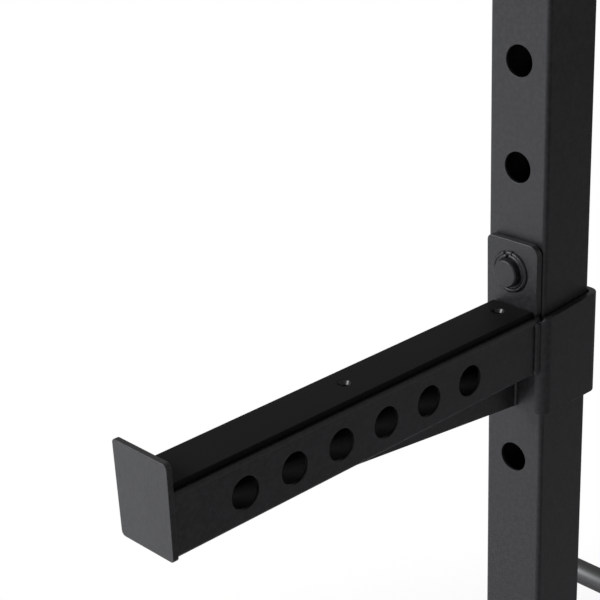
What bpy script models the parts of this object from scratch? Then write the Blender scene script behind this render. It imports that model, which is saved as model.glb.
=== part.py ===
"""Half rack for barbell training, with hook-on spotter arms and bar cups, as separate pieces.

Metres, +Z up. The origin lies on the floor, midway between the uprights and midway along the base
runners. -Y is the lifter's side. At these sizes each front upright's front face lies on Y = 0.
"""

import math

import bmesh
import bpy
from mathutils import Matrix, Vector

# Gap between faces that touch on the real rack
SEAT = 0.0003

# Frame tube, and how far apart the uprights stand
TUBE = 0.060
WALL = 0.003
CORNER = 0.0045
UPRIGHT_SPREAD = 1.080
UPRIGHT_DEPTH = 0.400
UPRIGHT_TOP = 2.195

# Hole column of the front uprights
HOLE_DIAMETER = 0.026
HOLE_PITCH = 0.088
LOWEST_HOLE_Z = 0.844
HOLE_UNDER_RAIL = 0.030

# Base runners and the rubber boots on their ends
RUNNER_LENGTH = 1.200
BOOT_LENGTH = 0.050
BOOT_WALL = 0.004
BOOT_SOLE = 0.005

# Foot brackets: two side plates and a floor plate, round the runner and the upright
FOOT_PLATE = 0.005
FOOT_LENGTH = 0.220
FOOT_RISE = 0.160
FOOT_SHOULDER = 0.044
FOOT_LIFT = 0.003
FOOT_CORNER = 0.010
FOOT_NECK = 0.035
FOOT_TO_BOOT = 0.010

# Bolts, with the strap washers under their heads
BOLT_DIAMETER = 0.012
BOLT_CLEARANCE = 0.001
BOLT_HEAD_FLATS = 0.019
BOLT_HEAD = 0.008
BOLT_NUT = 0.010
BOLT_TAIL = 0.004
STRAP = 0.003
STRAP_WIDTH = 0.028
STRAP_MARGIN = 0.016
RUNNER_BOLT_SPACING = 0.156
UPRIGHT_BOLT_SPACING = 0.070
UPRIGHT_BOLT_LIFT = 0.050

# Plastic caps in the upright tops
CAP_FLANGE = 0.005
CAP_PLUG = 0.018

# Cross members, side rails and the pull-up bar, with the flanges welded on their ends
CROSS_TUBE = 0.050
RAIL_BELOW_TOP = 0.085
MIDDLE_CROSS_Z = 1.180
FLANGE = 0.006
FLANGE_HEIGHT = 0.130
FLANGE_VENT = 0.030
BASE_FLANGE_LENGTH = 0.100
PULL_UP_DIAMETER = 0.032

# Plate storage pegs
PEG_DIAMETER = 0.028
PEG_REACH = 0.264
PEG_CHAMFER = 0.003
PEG_LOWEST_Z = 0.421
PEG_PITCH = 0.800
PEG_COUNT = 2
PEG_FLANGE_HEIGHT = 0.110
PEG_FLANGE_WIDTH = 0.056
PEG_FLANGE_CORNER = 0.010

# Hook-on bracket, the same on the arms and the cups, measured from its pin
PLATE = 0.006
BEND = 0.0042
FRONT_PLAY = 0.0015
SIDE_PLAY = 0.0010
REAR_PLAY = 0.0015
BRACKET_TOP = 0.034
BRACKET_RISE = 0.0036
BRACKET_BOTTOM = 0.122
TAB_TOP = 0.0275
TAB_CORNER = 0.009
TAB_OUTER_CORNER = 0.005
TAB_INSET = 0.0018
FLANGE_INSET = 0.0053
HOOK_LENGTH = 0.045
HOOK_CORNER = 0.010
RELIEF_DIAMETER = 0.006
RELIEF_OFFSET = 0.0015
PIN_DIAMETER = 0.024
PIN_HEAD = 0.008
PIN_REACH = 0.034
PIN_CHAMFER = 0.0015

# Spotter arm
ARM_HOLE = 2
ARM_TUBE = 0.050
ARM_DROP = 0.0595
ARM_LENGTH = 0.388
ARM_HOLE_DIAMETER = 0.025
ARM_HOLE_PITCH = 0.048
ARM_HOLE_FROM_TIP = 0.064
ARM_HOLE_COUNT = 6
GUSSET = 0.006
GUSSET_LENGTH = 0.207
GUSSET_NOSE = 0.0135
GUSSET_NOSE_SLANT = 0.014
GUSSET_NOSE_RADIUS = 0.006
TIP_PLATE = 0.005
TIP_WIDTH = 0.057
TIP_OFFSET = 0.0025
TIP_ABOVE = 0.026
TIP_BELOW = 0.0005
TIP_TOP_CORNER = 0.007
TIP_FOOT_CORNER = 0.004
LINER = 0.005
LINER_WIDTH = 0.041
LINER_OFFSET = 0.001
LINER_END_GAP = 0.0006

# Bar cup
CUP_HOLE = 7
CUP_WIDTH = 0.050
CUP_PLATE = 0.006
CUP_BEND = 0.006
CUP_MOUTH = 0.048
CUP_FLOOR_DROP = 0.082
CUP_LIP = 0.040
CUP_LIP_CORNER = 0.012
CUP_LIP_EDGE = 0.002
CUP_LINER = 0.007

# Facets: around rods, holes and bolts, along small corners and along wide bends
ROUND = 16
HOLE_ROUND = 12
BOLT_ROUND = 8
HEXAGON = 6
CORNER_STEPS = 2
BEND_STEPS = 4
SHARP_FROM = math.radians(30)

# Places that follow from the sizes above
REAR_Y = RUNNER_LENGTH / 2 - BOOT_LENGTH - FOOT_TO_BOOT - FOOT_LENGTH / 2
FRONT_Y = REAR_Y - UPRIGHT_DEPTH
FRONT_FACE_Y = FRONT_Y - TUBE / 2
RUNNER_Z = BOOT_SOLE + SEAT + TUBE / 2
RUNNER_TOP = RUNNER_Z + TUBE / 2
UPRIGHT_FOOT = RUNNER_TOP + SEAT + FOOT_PLATE + SEAT
RAIL_Z = UPRIGHT_TOP - RAIL_BELOW_TOP
HOLE_COUNT = 1 + int(
    (RAIL_Z - FLANGE_HEIGHT / 2 - HOLE_UNDER_RAIL - LOWEST_HOLE_Z) / HOLE_PITCH
)
SIDES = {"left": -1, "right": 1}


def material(name, colour, roughness, metallic):
    made = bpy.data.materials.new(name)
    made.use_nodes = True
    shader = made.node_tree.nodes["Principled BSDF"]
    shader.inputs["Base Color"].default_value = (*colour, 1.0)
    shader.inputs["Roughness"].default_value = roughness
    shader.inputs["Metallic"].default_value = metallic
    return made


def fillet(corners, steps=CORNER_STEPS):
    """An outline, counterclockwise, from (x, y, radius) corners: each radius becomes an arc."""
    outline = []
    for i, (x, y, radius) in enumerate(corners):
        here = Vector((x, y))
        if radius == 0:
            outline.append(here)
            continue
        back = (Vector(corners[i - 1][:2]) - here).normalized()
        ahead = (Vector(corners[(i + 1) % len(corners)][:2]) - here).normalized()
        half = back.angle(ahead) / 2
        centre = here + (back + ahead).normalized() * radius / math.sin(half)
        start = here + back * radius / math.tan(half) - centre
        end = here + ahead * radius / math.tan(half) - centre
        turn = math.atan2(start.cross(end), start.dot(end))
        for step in range(steps + 1):
            outline.append(centre + Matrix.Rotation(turn * step / steps, 2) @ start)
    return outline


def rectangle(x0, x1, y0, y1, radius=0.0):
    return fillet([(x0, y0, radius), (x1, y0, radius), (x1, y1, radius), (x0, y1, radius)])


def disc(x, y, diameter, sides=ROUND):
    turn = math.tau / sides
    return [
        Vector((x, y)) + diameter / 2 * Vector((math.cos(turn * i), math.sin(turn * i)))
        for i in range(sides)
    ]


# Which way an outline's first and second axes, and its sweep, point in space
PLANES = {
    "XY": Matrix(((1, 0, 0), (0, 1, 0), (0, 0, 1))),
    "YZ": Matrix(((0, 0, 1), (1, 0, 0), (0, 1, 0))),
    "XZ": Matrix(((1, 0, 0), (0, 0, -1), (0, 1, 0))),
}


def sweep(bm, plane, outline, start, end):
    """A closed prism of an outline in a plane, from start to end along the plane's normal."""
    if plane == "XZ":
        start, end = -end, -start
    frame = PLANES[plane]
    near = [bm.verts.new(frame @ Vector((p.x, p.y, start))) for p in outline]
    far = [bm.verts.new(frame @ Vector((p.x, p.y, end))) for p in outline]
    bm.faces.new(reversed(near))
    bm.faces.new(far)
    for i in range(len(outline)):
        j = (i + 1) % len(outline)
        bm.faces.new((near[i], near[j], far[j], far[i]))


def square_tube(bm, plane, size, centre, start, end):
    """An open length of square tube whose outer and inner corners are rounded."""
    if plane == "XZ":
        start, end = -end, -start
    frame = PLANES[plane]
    half = size / 2
    rings = []
    for inset, radius in ((0, CORNER), (WALL, CORNER - WALL)):
        ring = rectangle(
            centre[0] - half + inset,
            centre[0] + half - inset,
            centre[1] - half + inset,
            centre[1] + half - inset,
            radius,
        )
        for along in (start, end):
            rings.append([bm.verts.new(frame @ Vector((p.x, p.y, along))) for p in ring])
    outer_near, outer_far, inner_near, inner_far = rings
    for i in range(len(outer_near)):
        j = (i + 1) % len(outer_near)
        bm.faces.new((outer_near[i], outer_near[j], outer_far[j], outer_far[i]))
        bm.faces.new((inner_near[j], inner_near[i], inner_far[i], inner_far[j]))
        bm.faces.new((outer_near[j], outer_near[i], inner_near[i], inner_near[j]))
        bm.faces.new((outer_far[i], outer_far[j], inner_far[j], inner_far[i]))


def turned(bm, axis_frame, profile, sides=ROUND):
    """A closed solid of revolution from (radius, along) rings, both ends capped flat."""
    rings = []
    for radius, along in profile:
        ring = []
        for i in range(sides):
            turn = math.tau * i / sides
            point = Vector((radius * math.cos(turn), radius * math.sin(turn), along))
            ring.append(bm.verts.new(axis_frame @ point))
        rings.append(ring)
    bm.faces.new(reversed(rings[0]))
    bm.faces.new(rings[-1])
    for near, far in zip(rings, rings[1:]):
        for i in range(sides):
            j = (i + 1) % sides
            bm.faces.new((near[i], near[j], far[j], far[i]))


def to_object(name, bm, finish, side=-1, at=(0, 0, 0), cutter=False):
    """An object from a mesh made for the left side; side 1 mirrors it to the right."""
    if side == 1:
        bmesh.ops.scale(bm, vec=(-1, 1, 1), verts=bm.verts)
        bmesh.ops.reverse_faces(bm, faces=bm.faces)
    mesh = bpy.data.meshes.new(name)
    bm.to_mesh(mesh)
    bm.free()
    mesh.shade_smooth()
    mesh.set_sharp_from_angle(angle=SHARP_FROM)
    made = bpy.data.objects.new(name, mesh)
    made.location = at
    bpy.context.scene.collection.objects.link(made)
    if cutter:
        made.hide_render = True
        made.display_type = "WIRE"
    else:
        mesh.materials.append(finish)
    return made


def combine(made, operation, bm, side=-1):
    """Cut a mesh from an object, or join one to it, with a Boolean that stays on the object."""
    tool = to_object(made.name + "_" + operation.lower(), bm, None, side, made.location, True)
    modifier = made.modifiers.new(operation.title(), "BOOLEAN")
    modifier.operation = operation
    modifier.object = tool
    modifier.solver = "EXACT"


def upright_x(side):
    return side * UPRIGHT_SPREAD / 2


def hole_z(number):
    """Height of a hole of the front uprights, counted from 0 at the lowest."""
    return LOWEST_HOLE_Z + number * HOLE_PITCH


def foot_outline():
    """Side view of a foot bracket: a broad foot along the runner that narrows up the upright."""
    half = FOOT_LENGTH / 2
    low = RUNNER_Z - TUBE / 2 + FOOT_LIFT
    shoulder = low + FOOT_SHOULDER
    top = RUNNER_TOP + FOOT_RISE
    return fillet(
        [
            (-half, low, FOOT_CORNER),
            (half, low, FOOT_CORNER),
            (half, shoulder, FOOT_CORNER),
            (FOOT_NECK, top, FOOT_CORNER),
            (-FOOT_NECK, top, FOOT_CORNER),
            (-half, shoulder, FOOT_CORNER),
        ]
    )


def foot_bolt_holes(bm, diameter, start, end, which=("upright", "runner")):
    """Prisms for a foot's bolts, along X: two up the upright and two along the runner."""
    places = []
    if "upright" in which:
        places += [(0, z) for z in upright_bolt_heights()]
    if "runner" in which:
        places += [(y, RUNNER_Z) for y in runner_bolt_places()]
    for y, z in places:
        sweep(bm, "YZ", disc(y, z, diameter, BOLT_ROUND), start, end)


def upright_bolt_heights():
    low = RUNNER_TOP + UPRIGHT_BOLT_LIFT
    return low, low + UPRIGHT_BOLT_SPACING


def runner_bolt_places():
    return -RUNNER_BOLT_SPACING / 2, RUNNER_BOLT_SPACING / 2


def make_upright(name, side, y, finish, holes):
    bm = bmesh.new()
    square_tube(bm, "XY", TUBE, (0, 0), UPRIGHT_FOOT, UPRIGHT_TOP)
    made = to_object(name, bm, finish, side, (upright_x(side), y, 0))
    cuts = bmesh.new()
    foot_bolt_holes(cuts, BOLT_DIAMETER + BOLT_CLEARANCE * 2, -TUBE, TUBE, ("upright",))
    for number in range(holes):
        sweep(cuts, "XZ", disc(0, hole_z(number), HOLE_DIAMETER, HOLE_ROUND), -TUBE, TUBE)
    combine(made, "DIFFERENCE", cuts, side)


def make_runner(name, side, finish):
    bm = bmesh.new()
    square_tube(bm, "XZ", TUBE, (0, RUNNER_Z), -RUNNER_LENGTH / 2, RUNNER_LENGTH / 2)
    made = to_object(name, bm, finish, side, (upright_x(side), 0, 0))
    cuts = bmesh.new()
    for foot_y in (FRONT_Y, REAR_Y):
        for y in runner_bolt_places():
            width = BOLT_DIAMETER + BOLT_CLEARANCE * 2
            sweep(cuts, "YZ", disc(foot_y + y, RUNNER_Z, width, BOLT_ROUND), -TUBE, TUBE)
    combine(made, "DIFFERENCE", cuts, side)


def make_boot(name, side, end, finish):
    """A rubber boot: a box that closes over a runner's end, with a thick sole."""
    tip = end * (RUNNER_LENGTH / 2 + SEAT + BOOT_WALL)
    inner = end * (RUNNER_LENGTH / 2 + SEAT)
    mouth = end * (RUNNER_LENGTH / 2 - BOOT_LENGTH)
    beyond = mouth - end * BOOT_WALL
    half = TUBE / 2 + SEAT
    top = RUNNER_TOP + SEAT
    bm = bmesh.new()
    outer = rectangle(-half - BOOT_WALL, half + BOOT_WALL, 0, top + BOOT_WALL, CORNER + BOOT_WALL)
    sweep(bm, "XZ", outer, *sorted((tip, mouth)))
    made = to_object(name, bm, finish, side, (upright_x(side), 0, 0))
    cuts = bmesh.new()
    hollow = rectangle(-half, half, RUNNER_Z - half, top, CORNER)
    sweep(cuts, "XZ", hollow, *sorted((inner, beyond)))
    combine(made, "DIFFERENCE", cuts, side)


def make_foot(name, side, y, finish):
    """Two side plates joined by a floor plate, on which the upright stands."""
    inside = TUBE / 2 + SEAT
    outside = inside + FOOT_PLATE
    bm = bmesh.new()
    sweep(bm, "YZ", foot_outline(), inside, outside)
    sweep(bm, "YZ", foot_outline(), -outside, -inside)
    made = to_object(name, bm, finish, side, (upright_x(side), y, 0))
    floor = bmesh.new()
    half = TUBE / 2
    under = RUNNER_TOP + SEAT
    lap = inside + FOOT_PLATE / 2
    sweep(floor, "XY", rectangle(-lap, lap, -half, half), under, under + FOOT_PLATE)
    combine(made, "UNION", floor, side)
    cuts = bmesh.new()
    foot_bolt_holes(cuts, BOLT_DIAMETER + BOLT_CLEARANCE * 2, -TUBE, TUBE)
    combine(made, "DIFFERENCE", cuts, side)


def make_foot_bolts(name, side, y, which, finish):
    """Two bolts through a foot, with one strap washer under both heads and a nut on each."""
    plate = TUBE / 2 + SEAT + FOOT_PLATE + SEAT
    if which == "upright":
        places = [(0, z) for z in upright_bolt_heights()]
    else:
        places = [(place, RUNNER_Z) for place in runner_bolt_places()]
    (y0, z0), (y1, z1) = places
    if which == "upright":
        strap = rectangle(-STRAP_WIDTH / 2, STRAP_WIDTH / 2, z0 - STRAP_MARGIN, z1 + STRAP_MARGIN)
    else:
        strap = rectangle(
            y0 - STRAP_MARGIN, y1 + STRAP_MARGIN, z0 - STRAP_WIDTH / 2, z0 + STRAP_WIDTH / 2
        )
    bm = bmesh.new()
    sweep(bm, "YZ", strap, -plate - STRAP, -plate)
    made = to_object(name, bm, finish, side, (upright_x(side), y, 0))
    across_corners = BOLT_HEAD_FLATS / math.cos(math.pi / HEXAGON)
    head_out = -plate - STRAP - BOLT_HEAD
    tail = plate + BOLT_NUT + BOLT_TAIL
    for place in places:
        rods = bmesh.new()
        sweep(rods, "YZ", disc(*place, BOLT_DIAMETER, BOLT_ROUND), -plate - STRAP - BOLT_HEAD / 2, tail)
        combine(made, "UNION", rods, side)
        heads = bmesh.new()
        sweep(heads, "YZ", disc(*place, across_corners, HEXAGON), head_out, -plate - STRAP / 2)
        sweep(heads, "YZ", disc(*place, across_corners, HEXAGON), plate, plate + BOLT_NUT)
        combine(made, "UNION", heads, side)


def make_cap(name, side, y, finish):
    """A plastic insert: a flange on the tube's top edge and a plug inside it."""
    bm = bmesh.new()
    half = TUBE / 2
    top = UPRIGHT_TOP + SEAT
    rim = rectangle(-half, half, -half, half, CORNER)
    sweep(bm, "XY", rim, top, top + CAP_FLANGE)
    made = to_object(name, bm, finish, side, (upright_x(side), y, 0))
    plug = bmesh.new()
    fit = half - WALL - SEAT
    sweep(
        plug, "XY", rectangle(-fit, fit, -fit, fit, CORNER - WALL), top - CAP_PLUG, top + CAP_FLANGE / 2
    )
    combine(made, "UNION", plug, side)


def make_side_rail(name, side, finish):
    """Square tube from a front upright to a rear one, with a flange welded on each end."""
    front = FRONT_Y + TUBE / 2 + SEAT
    rear = REAR_Y - TUBE / 2 - SEAT
    weld = FLANGE / 2
    bm = bmesh.new()
    square_tube(bm, "XZ", CROSS_TUBE, (0, RAIL_Z), front + weld, rear - weld)
    made = to_object(name, bm, finish, side, (upright_x(side), 0, 0))
    half = TUBE / 2
    plate = rectangle(
        -half, half, RAIL_Z - FLANGE_HEIGHT / 2, RAIL_Z + FLANGE_HEIGHT / 2, CORNER
    )
    ends = bmesh.new()
    sweep(ends, "XZ", plate, front, front + FLANGE)
    sweep(ends, "XZ", plate, rear - FLANGE, rear)
    combine(made, "UNION", ends, side)
    vent = bmesh.new()
    sweep(vent, "XZ", disc(0, RAIL_Z, FLANGE_VENT, BOLT_ROUND), front - FLANGE, rear + FLANGE)
    combine(made, "DIFFERENCE", vent, side)


def make_cross_member(name, y, z, end_x, plate, finish):
    """Square tube across the rack between the faces at -end_x and +end_x, with end flanges."""
    weld = FLANGE / 2
    bm = bmesh.new()
    square_tube(bm, "YZ", CROSS_TUBE, (0, z), -end_x + weld, end_x - weld)
    made = to_object(name, bm, finish, -1, (0, y, 0))
    ends = bmesh.new()
    sweep(ends, "YZ", plate, -end_x, -end_x + FLANGE)
    sweep(ends, "YZ", plate, end_x - FLANGE, end_x)
    combine(made, "UNION", ends)
    vent = bmesh.new()
    sweep(vent, "YZ", disc(0, z, FLANGE_VENT, BOLT_ROUND), -end_x - FLANGE, end_x + FLANGE)
    combine(made, "DIFFERENCE", vent)


def make_pull_up_bar(name, finish):
    end_x = UPRIGHT_SPREAD / 2 - TUBE / 2 - SEAT
    bm = bmesh.new()
    bar = disc(0, RAIL_Z, PULL_UP_DIAMETER)
    sweep(bm, "YZ", bar, -end_x + FLANGE / 2, end_x - FLANGE / 2)
    made = to_object(name, bm, finish, -1, (0, FRONT_Y, 0))
    half = TUBE / 2
    plate = rectangle(-half, half, RAIL_Z - FLANGE_HEIGHT / 2, RAIL_Z + FLANGE_HEIGHT / 2, CORNER)
    ends = bmesh.new()
    sweep(ends, "YZ", plate, -end_x, -end_x + FLANGE)
    sweep(ends, "YZ", plate, end_x - FLANGE, end_x)
    combine(made, "UNION", ends)


def make_peg(name, side, number, finish):
    """A round storage peg with a chamfered tip, welded to a flange on the upright's outer face."""
    z = PEG_LOWEST_Z + number * PEG_PITCH
    face = TUBE / 2 + SEAT
    tip = face + FLANGE + PEG_REACH
    outward = Matrix.Rotation(-math.pi / 2, 3, "Y")
    bm = bmesh.new()
    radius = PEG_DIAMETER / 2
    turned(
        bm,
        outward,
        [
            (radius, face + FLANGE / 2),
            (radius, tip - PEG_CHAMFER),
            (radius - PEG_CHAMFER, tip),
        ],
    )
    made = to_object(name, bm, finish, side, (upright_x(side), REAR_Y, z))
    half_y, half_z = PEG_FLANGE_WIDTH / 2, PEG_FLANGE_HEIGHT / 2
    flange = bmesh.new()
    outline = rectangle(-half_y, half_y, -half_z, half_z, PEG_FLANGE_CORNER)
    sweep(flange, "YZ", outline, -face - FLANGE, -face)
    combine(made, "UNION", flange, side)


def pin_point(side, hole):
    return (upright_x(side), FRONT_FACE_Y, hole_z(hole))


def bracket_sizes():
    """Faces of the hook-on bracket round the upright, from its pin: front, side and rear."""
    front_in = -FRONT_PLAY
    side_in = TUBE / 2 + SIDE_PLAY
    rear_in = TUBE + REAR_PLAY
    return {
        "front_in": front_in,
        "front_out": front_in - PLATE,
        "side_in": side_in,
        "side_out": side_in + PLATE,
        "rear_in": rear_in,
        "rear_out": rear_in + PLATE,
        "left": -TUBE / 2 + FLANGE_INSET,
        "flat_end": side_in + PLATE - BEND - PLATE,
    }


def make_bracket(name, side, hole, finish):
    """One plate bent twice round the upright: front flange with its tab, side web, rear hook."""
    s = bracket_sizes()
    lap = PLATE / 2
    bend_out = BEND + PLATE
    core = fillet(
        [
            (s["flat_end"] - lap, s["front_out"], 0),
            (s["side_out"], s["front_out"], bend_out),
            (s["side_out"], s["rear_out"], bend_out),
            (s["flat_end"] - lap, s["rear_out"], 0),
            (s["flat_end"] - lap, s["rear_in"], 0),
            (s["side_in"], s["rear_in"], BEND),
            (s["side_in"], s["front_in"], BEND),
            (s["flat_end"] - lap, s["front_in"], 0),
        ],
        BEND_STEPS,
    )
    bm = bmesh.new()
    rear_top = BRACKET_RISE - BRACKET_TOP
    sweep(bm, "XY", core, -BRACKET_BOTTOM, rear_top)
    made = to_object(name, bm, finish, side, pin_point(side, hole))

    hook = bmesh.new()
    hook_left = s["flat_end"] - HOOK_LENGTH
    hook_plate = fillet(
        [
            (hook_left, -BRACKET_BOTTOM, HOOK_CORNER),
            (s["flat_end"], -BRACKET_BOTTOM, 0),
            (s["flat_end"], rear_top, 0),
            (hook_left, rear_top, HOOK_CORNER),
        ]
    )
    sweep(hook, "XZ", hook_plate, s["rear_in"], s["rear_out"])
    combine(made, "UNION", hook, side)

    # the web's top edge falls from the hook to the front bend
    fall = bmesh.new()
    above = fillet(
        [
            (s["front_out"] - PLATE, -BRACKET_TOP, 0),
            (s["front_in"] + BEND, -BRACKET_TOP, 0),
            (s["rear_in"] - BEND, rear_top, 0),
            (s["rear_in"] - BEND, rear_top + PLATE, 0),
            (s["front_out"] - PLATE, rear_top + PLATE, 0),
        ]
    )
    sweep(fall, "YZ", above, -TUBE, TUBE)
    combine(made, "DIFFERENCE", fall, side)

    tab_right = TUBE / 2 - TAB_INSET
    front = bmesh.new()
    front_plate = fillet(
        [
            (s["left"], -BRACKET_BOTTOM, 0),
            (s["flat_end"], -BRACKET_BOTTOM, 0),
            (s["flat_end"], -BRACKET_TOP, 0),
            (tab_right, -BRACKET_TOP, 0),
            (tab_right, TAB_TOP, TAB_CORNER),
            (s["left"], TAB_TOP, TAB_OUTER_CORNER),
        ],
        BEND_STEPS,
    )
    sweep(front, "XZ", front_plate, s["front_out"], s["front_in"])
    combine(made, "UNION", front, side)

    cuts = bmesh.new()
    reach = s["front_out"] - PLATE, s["front_in"] + BEND
    sweep(cuts, "XZ", disc(0, 0, PIN_DIAMETER + 2 * SEAT), *reach)
    relief_x = tab_right + RELIEF_OFFSET
    sweep(cuts, "XZ", disc(relief_x, -BRACKET_TOP, RELIEF_DIAMETER, BOLT_ROUND), *reach)
    combine(made, "DIFFERENCE", cuts, side)


def make_pin(name, side, hole, finish):
    """The round pin through the tab: chamfered head in front, tapered nose in the upright."""
    s = bracket_sizes()
    rearward = Matrix.Rotation(-math.pi / 2, 3, "X")
    radius = PIN_DIAMETER / 2
    head = s["front_out"] - PIN_HEAD
    bm = bmesh.new()
    turned(
        bm,
        rearward,
        [
            (radius - PIN_CHAMFER, head),
            (radius, head + PIN_CHAMFER),
            (radius, PIN_REACH - 2 * PIN_CHAMFER),
            (radius - 2 * PIN_CHAMFER, PIN_REACH),
        ],
    )
    to_object(name, bm, finish, side, pin_point(side, hole))


def arm_sizes():
    """The arm tube from its pin: its middle, its lower and upper faces, its two ends."""
    root = bracket_sizes()["front_out"] - SEAT
    return {
        "middle": TUBE / 2 - ARM_TUBE / 2,
        "low": -ARM_DROP - ARM_TUBE / 2,
        "high": -ARM_DROP + ARM_TUBE / 2,
        "root": root,
        "tip": root - ARM_LENGTH,
    }


def make_arm(side, label, steel, plastic):
    a = arm_sizes()
    at = pin_point(side, ARM_HOLE)
    make_bracket("arm_bracket_" + label, side, ARM_HOLE, steel)
    make_pin("arm_pin_" + label, side, ARM_HOLE, steel)

    bm = bmesh.new()
    square_tube(bm, "XZ", ARM_TUBE, (a["middle"], -ARM_DROP), a["tip"], a["root"])
    tube = to_object("arm_tube_" + label, bm, steel, side, at)
    cuts = bmesh.new()
    for number in range(ARM_HOLE_COUNT):
        y = a["tip"] + ARM_HOLE_FROM_TIP + number * ARM_HOLE_PITCH
        hole = disc(y, -ARM_DROP, ARM_HOLE_DIAMETER, HOLE_ROUND)
        sweep(cuts, "YZ", hole, -2 * ARM_TUBE, 2 * ARM_TUBE)
    combine(tube, "DIFFERENCE", cuts, side)

    under = a["low"] - SEAT
    gusset = bmesh.new()
    nose = a["root"] - GUSSET_LENGTH
    outline = fillet(
        [
            (nose, under, 0),
            (nose + GUSSET_NOSE_SLANT, under - GUSSET_NOSE, GUSSET_NOSE_RADIUS),
            (a["root"], -BRACKET_BOTTOM, 0),
            (a["root"], under, 0),
        ]
    )
    middle = a["middle"]
    sweep(gusset, "YZ", outline, middle - GUSSET / 2, middle + GUSSET / 2)
    to_object("arm_gusset_" + label, gusset, steel, side, at)

    plate = bmesh.new()
    inner, outer = middle - TIP_OFFSET + TIP_WIDTH / 2, middle - TIP_OFFSET - TIP_WIDTH / 2
    outline = fillet(
        [
            (outer, a["low"] - TIP_BELOW, TIP_FOOT_CORNER),
            (inner, a["low"] - TIP_BELOW, TIP_FOOT_CORNER),
            (inner, a["high"] + TIP_ABOVE, TIP_TOP_CORNER),
            (outer, a["high"] + TIP_ABOVE, TIP_TOP_CORNER),
        ]
    )
    sweep(plate, "XZ", outline, a["tip"] - SEAT - TIP_PLATE, a["tip"] - SEAT)
    to_object("arm_end_plate_" + label, plate, steel, side, at)

    liner = bmesh.new()
    top = a["high"] + SEAT
    inner, outer = (middle - LINER_OFFSET + half for half in (LINER_WIDTH / 2, -LINER_WIDTH / 2))
    outline = rectangle(outer, inner, top, top + LINER)
    sweep(liner, "XZ", outline, a["tip"] + LINER_END_GAP, a["root"] - LINER_END_GAP)
    to_object("arm_liner_" + label, liner, plastic, side, at)


def make_cup(side, label, steel, plastic):
    """A bar cup: the same bracket, a cradle bent from plate, and a plastic liner inside it."""
    at = pin_point(side, CUP_HOLE)
    make_bracket("cup_bracket_" + label, side, CUP_HOLE, steel)
    make_pin("cup_pin_" + label, side, CUP_HOLE, steel)

    root = bracket_sizes()["front_out"] - SEAT
    middle = TUBE / 2 - CUP_WIDTH / 2
    back = root - CUP_LINER
    mouth = back - CUP_MOUTH
    lip_in = mouth - CUP_LINER - SEAT
    lip_out = lip_in - CUP_PLATE
    floor = -CUP_FLOOR_DROP
    plate_top = floor - CUP_LINER - SEAT
    plate_low = plate_top - CUP_PLATE
    lip_top = floor + CUP_LIP

    cradle = bmesh.new()
    outline = fillet(
        [
            (lip_out, lip_top, CUP_LIP_EDGE),
            (lip_out, plate_low, CUP_BEND + CUP_PLATE),
            (root, plate_low, 0),
            (root, plate_top, 0),
            (lip_in, plate_top, CUP_BEND),
            (lip_in, lip_top, CUP_LIP_EDGE),
        ],
        BEND_STEPS,
    )
    half = CUP_WIDTH / 2
    sweep(cradle, "YZ", outline, middle - half, middle + half)
    made = to_object("cup_cradle_" + label, cradle, steel, side, at)
    corners = bmesh.new()
    ahead = lip_out - CUP_PLATE, lip_in + SEAT / 2
    for edge, inward in ((middle - half, 1), (middle + half, -1)):
        round_x = edge + inward * CUP_LIP_CORNER
        outer = edge - inward * CUP_PLATE
        top = lip_top + CUP_PLATE
        arc_z = lip_top - CUP_LIP_CORNER
        corner = [Vector((outer, arc_z)), Vector((outer, top)), Vector((round_x, top))]
        for step in range(BEND_STEPS + 1):
            turn = math.pi / 2 * (1 - step / BEND_STEPS)
            reach = CUP_LIP_CORNER * Vector((-inward * math.cos(turn), math.sin(turn)))
            corner.append(Vector((round_x, arc_z)) + reach)
        if inward == 1:
            corner.reverse()
        sweep(corners, "XZ", corner, *ahead)
    combine(made, "DIFFERENCE", corners, side)

    liner = bmesh.new()
    low = floor - CUP_LINER
    pocket = CUP_BEND
    outline = fillet(
        [
            (mouth - CUP_LINER, low, CUP_BEND),
            (root, low, 0),
            (root, -BRACKET_TOP, 0),
            (back, -BRACKET_TOP, 0),
            (back, floor, pocket),
            (mouth, floor, pocket),
            (mouth, lip_top - CUP_LIP_CORNER, 0),
            (mouth - CUP_LINER, lip_top - CUP_LIP_CORNER, 0),
        ]
    )
    sweep(liner, "YZ", outline, middle - half, middle + half)
    to_object("cup_liner_" + label, liner, plastic, side, at)


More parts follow.
